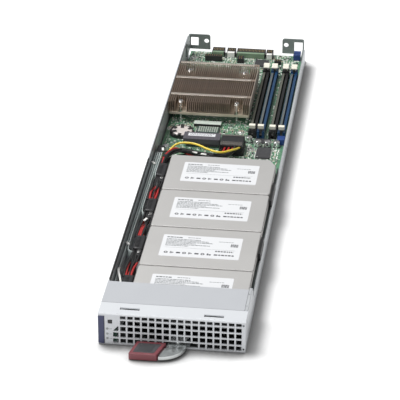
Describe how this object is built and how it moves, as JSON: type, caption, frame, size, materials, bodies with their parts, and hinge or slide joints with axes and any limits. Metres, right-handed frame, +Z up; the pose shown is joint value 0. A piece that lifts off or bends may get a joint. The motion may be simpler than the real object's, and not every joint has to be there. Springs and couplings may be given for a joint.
{
  "type": "blade server",
  "caption": "Open half-width blade server sled: perforated front with ejector lever, drives across a deck, board with heatsink, memory sockets and rear ears.",
  "frame": {"origin": "centre of the sled floor's underside", "axes": "+Y from the front panel to the rear, +Z up, +X to the right seen from the front"},
  "size_m": [0.124, 0.6086, 0.0295],
  "materials": {
    "zinc_steel": "zinc-plated sheet steel",
    "ear_steel": "bare bent sheet steel",
    "panel_paint": "fine pale grey powder coat",
    "cover_steel": "satin pale blue-grey plated sheet",
    "screw_steel": "zinc-plated",
    "strip_blue": "satin slate blue",
    "led_lens": "frosted light guide",
    "control_board": "solder mask",
    "button_black": "satin",
    "drive_body": "cast, bead blasted",
    "drive_lid": "satin warm grey",
    "plug_black": "moulded nylon",
    "header_black": "moulded nylon",
    "clip_black": "moulded",
    "board_green": "green solder mask on glass laminate",
    "socket_frame": "stamped",
    "cpu_nickel": "nickel-plated copper",
    "sink_base": "machined",
    "sink_fins": "thin stamped fins",
    "sink_screw": "nickel-plated",
    "spring_steel": "coiled wire",
    "memory_black": "moulded nylon",
    "memory_blue": "moulded nylon",
    "latch_cream": "moulded nylon",
    "holder_black": "moulded nylon",
    "cell_steel": "stamped steel can",
    "flash_grey": "moulded cover",
    "chip_black": "epoxy package",
    "capacitor_can": "drawn can",
    "choke_grey": "pressed ferrite",
    "port_black": "moulded nylon",
    "edge_black": "moulded nylon",
    "harness_black": "insulated wires in a sleeve",
    "cable_grey": "flat ribbon jacket",
    "arm_steel": "stamped, satin nickel",
    "grip_red": "moulded, satin",
    "inlay_grey": "soft pad",
    "pivot_steel": "turned rivet"
  },
  "bodies": {
    "sled": {"tray": "zinc_steel", "drive_deck": "zinc_steel", "side_rail": "zinc_steel", "left_ear": "ear_steel", "right_ear": "ear_steel", "front_bezel": "panel_paint", "front_cover": "cover_steel", "cover_screws": "screw_steel", "drive_screws": "screw_steel", "board_screws": "screw_steel", "standoffs": "screw_steel", "id_strip": "strip_blue", "led_lenses": "led_lens", "front_board": "control_board", "drive_1_case": "drive_body", "drive_2_case": "drive_body", "drive_3_case": "drive_body", "drive_4_case": "drive_body", "drive_1_lid": "drive_lid", "drive_2_lid": "drive_lid", "drive_3_lid": "drive_lid", "drive_4_lid": "drive_lid", "drive_plugs": "plug_black", "power_plug": "plug_black", "power_header": "header_black", "side_clips": "clip_black", "motherboard": "board_green", "cpu_socket": "socket_frame", "cpu": "cpu_nickel", "heatsink_base": "sink_base", "heatsink_fins": "sink_fins", "heatsink_screws": "sink_screw", "heatsink_springs": "spring_steel", "memory_socket_1": "memory_black", "memory_socket_3": "memory_black", "memory_socket_2": "memory_blue", "memory_socket_4": "memory_blue", "battery_holder": "holder_black", "battery_cell": "cell_steel", "flash_module": "flash_grey", "chips": "chip_black", "capacitors": "capacitor_can", "chokes": "choke_grey", "small_connectors": "port_black", "rear_connectors": "edge_black", "power_harness": "harness_black", "data_cables": "cable_grey", "lever_pivot": "pivot_steel"},
    "lever": {"lever_arm": "arm_steel", "lever_grip": "grip_red", "lever_inlay": "inlay_grey"},
    "button": {"power_button": "button_black"},
    "latch_1_front": {"memory_1_front_latch": "latch_cream"},
    "latch_1_rear": {"memory_1_rear_latch": "latch_cream"},
    "latch_2_front": {"memory_2_front_latch": "latch_cream"},
    "latch_2_rear": {"memory_2_rear_latch": "latch_cream"},
    "latch_3_front": {"memory_3_front_latch": "latch_cream"},
    "latch_3_rear": {"memory_3_rear_latch": "latch_cream"},
    "latch_4_front": {"memory_4_front_latch": "latch_cream"},
    "latch_4_rear": {"memory_4_rear_latch": "latch_cream"}
  },
  "joints": [
    {"name": "lever_hinge", "type": "hinge", "parent": "sled", "child": "lever", "pos_m": [0.005, -0.2886, 0.003], "axis": [0, 0, 1], "range_deg": [0, 40]},
    {"name": "button_press", "type": "slide", "parent": "sled", "child": "button", "axis": [0, 1, 0], "range_m": [0, 0.0006], "stiffness_N_per_m": 600},
    {"name": "latch_1_front_hinge", "type": "hinge", "parent": "sled", "child": "latch_1_front", "pos_m": [0.026, 0.0975, 0.0092], "axis": [1, 0, 0], "range_deg": [0, 30]},
    {"name": "latch_1_rear_hinge", "type": "hinge", "parent": "sled", "child": "latch_1_rear", "pos_m": [0.026, 0.239, 0.0092], "axis": [-1, 0, 0], "range_deg": [0, 30]},
    {"name": "latch_2_front_hinge", "type": "hinge", "parent": "sled", "child": "latch_2_front", "pos_m": [0.0345, 0.0975, 0.0092], "axis": [1, 0, 0], "range_deg": [0, 30]},
    {"name": "latch_2_rear_hinge", "type": "hinge", "parent": "sled", "child": "latch_2_rear", "pos_m": [0.0345, 0.239, 0.0092], "axis": [-1, 0, 0], "range_deg": [0, 30]},
    {"name": "latch_3_front_hinge", "type": "hinge", "parent": "sled", "child": "latch_3_front", "pos_m": [0.046, 0.0975, 0.0092], "axis": [1, 0, 0], "range_deg": [0, 30]},
    {"name": "latch_3_rear_hinge", "type": "hinge", "parent": "sled", "child": "latch_3_rear", "pos_m": [0.046, 0.239, 0.0092], "axis": [-1, 0, 0], "range_deg": [0, 30]},
    {"name": "latch_4_front_hinge", "type": "hinge", "parent": "sled", "child": "latch_4_front", "pos_m": [0.0547, 0.0975, 0.0092], "axis": [1, 0, 0], "range_deg": [0, 30]},
    {"name": "latch_4_rear_hinge", "type": "hinge", "parent": "sled", "child": "latch_4_rear", "pos_m": [0.0547, 0.239, 0.0092], "axis": [-1, 0, 0], "range_deg": [0, 30]}
  ]
}
